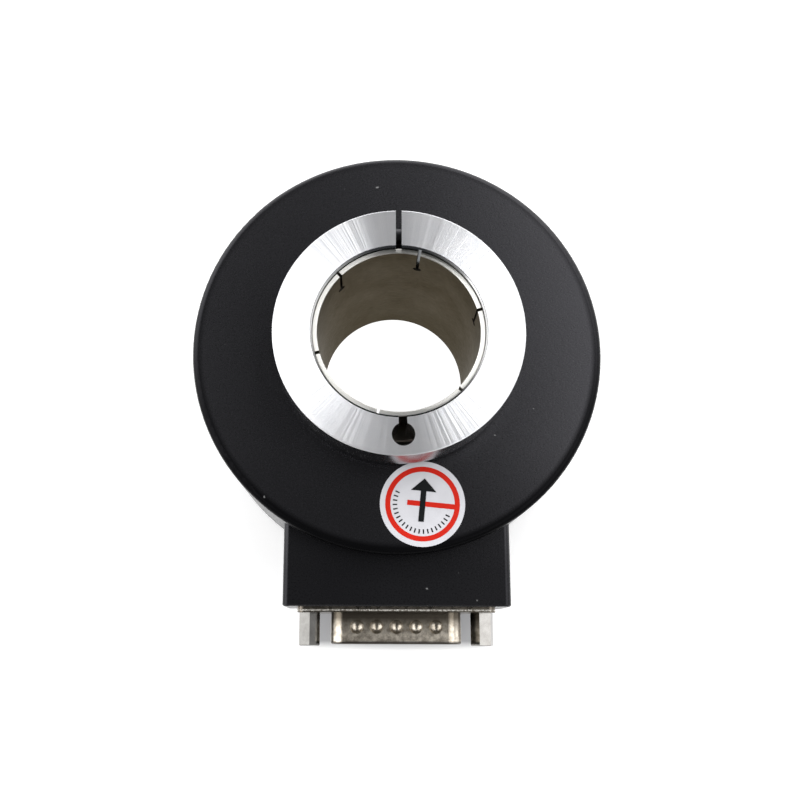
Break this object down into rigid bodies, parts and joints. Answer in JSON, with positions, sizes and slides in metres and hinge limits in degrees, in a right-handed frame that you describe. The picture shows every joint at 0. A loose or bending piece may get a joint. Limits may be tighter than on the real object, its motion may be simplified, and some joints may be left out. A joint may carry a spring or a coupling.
{
  "type": "rotary encoder",
  "caption": "Hollow-shaft rotary encoder: round black body, split clamping ring on a slotted through shaft, and a side block with a D connector.",
  "frame": {"origin": "centre of the rear face, on the shaft axis", "axes": "+Z along the shaft axis towards the clamping ring, -Y towards the connector, +X to the right of both"},
  "size_m": [0.079, 0.0954, 0.046],
  "materials": {
    "black_paint": "satin black paint on cast aluminium, fine orange peel",
    "black_cover": "satin black paint on a turned aluminium plate",
    "gasket_rubber": "matt black nitrile sheet",
    "seal_rubber": "matt black nitrile",
    "black_screw_steel": "black oxide on hardened steel",
    "bearing_steel": "ground bearing steel",
    "shield_steel": "pressed steel sheet",
    "ball_steel": "polished balls",
    "cage_polymer": "glass-filled polyamide",
    "spring_steel": "phosphated spring steel",
    "shaft_steel": "satin honed stainless steel, slightly olive",
    "turned_aluminium": "bright turned face with fine concentric tool marks",
    "hub_aluminium": "machined aluminium",
    "disc_glass": "glass with a chrome code track",
    "circuit_board": "green solder mask",
    "zinc_steel": "zinc plated steel",
    "chip_epoxy": "black moulded package",
    "reticle_glass": "masked glass",
    "capacitor_ceramic": "ceramic chip",
    "header_plastic": "cream moulded plastic",
    "holder_plastic": "black moulded plastic",
    "led_epoxy": "dark infrared epoxy",
    "lens_glass": "clear glass",
    "nickel_plate": "bright nickel plate on pressed steel",
    "jackscrew_nickel": "bright nickel plate on turned hexagon bar",
    "connector_plastic": "black glass-filled plastic",
    "pin_gold": "gold flash",
    "ribbon_grey": "grey ribbon cable",
    "label_vinyl": "white vinyl with red and black print"
  },
  "bodies": {
    "housing": {"main_housing": "black_paint", "rear_cover": "black_cover", "rear_cover_gasket": "gasket_rubber", "rear_cover_screws": "black_screw_steel", "front_shaft_seal": "seal_rubber", "rear_shaft_seal": "seal_rubber", "front_bearing_outer_ring": "bearing_steel", "rear_bearing_outer_ring": "bearing_steel", "front_bearing_shields": "shield_steel", "rear_bearing_shields": "shield_steel", "bearing_disc_spring": "spring_steel", "bearing_circlip": "spring_steel", "main_board": "circuit_board", "connector_board": "circuit_board", "board_screws": "zinc_steel", "led_holder_screws": "zinc_steel", "detector_chip": "chip_epoxy", "signal_chips": "chip_epoxy", "reticle_mask": "reticle_glass", "board_capacitors": "capacitor_ceramic", "board_header": "header_plastic", "led_holder": "holder_plastic", "led_emitter": "led_epoxy", "collimating_lens": "lens_glass", "connector_front_shell": "nickel_plate", "connector_rear_shell": "nickel_plate", "connector_insulator": "connector_plastic", "connector_pins": "pin_gold", "jackscrews": "jackscrew_nickel", "jackscrew_nuts": "jackscrew_nickel", "ribbon_cable": "ribbon_grey", "round_label": "label_vinyl"},
    "rotor": {"hollow_shaft": "shaft_steel", "clamp_ring": "turned_aluminium", "front_bearing_inner_ring": "bearing_steel", "rear_bearing_inner_ring": "bearing_steel", "inner_ring_spacer": "bearing_steel", "code_disc_hub": "hub_aluminium", "code_disc": "disc_glass", "disc_retaining_ring": "hub_aluminium", "hub_circlip": "spring_steel", "clamp_screw_washer": "spring_steel"},
    "front_cage": {"front_bearing_balls": "ball_steel", "front_bearing_cage": "cage_polymer"},
    "rear_cage": {"rear_bearing_balls": "ball_steel", "rear_bearing_cage": "cage_polymer"},
    "clamp_screw": {"clamp_screw": "black_screw_steel"}
  },
  "joints": [
    {"name": "shaft_spin", "type": "hinge", "parent": "housing", "child": "rotor", "pos_m": [0, 0, 0.023], "axis": [0, 0, 1], "continuous": true},
    {"name": "front_cage_spin", "type": "hinge", "parent": "housing", "child": "front_cage", "pos_m": [0, 0, 0.027], "axis": [0, 0, 1], "continuous": true},
    {"name": "rear_cage_spin", "type": "hinge", "parent": "housing", "child": "rear_cage", "pos_m": [0, 0, 0.0179], "axis": [0, 0, 1], "continuous": true},
    {"name": "clamp_screw_turn", "type": "hinge", "parent": "rotor", "child": "clamp_screw", "pos_m": [0.005, 0.0198, 0.041], "axis": [1, 0, 0], "range_deg": [0, 540]}
  ],
  "couplings": [
    {"joint": "front_cage_spin", "follows": "shaft_spin", "ratio": 0.46986},
    {"joint": "rear_cage_spin", "follows": "shaft_spin", "ratio": 0.46986}
  ]
}
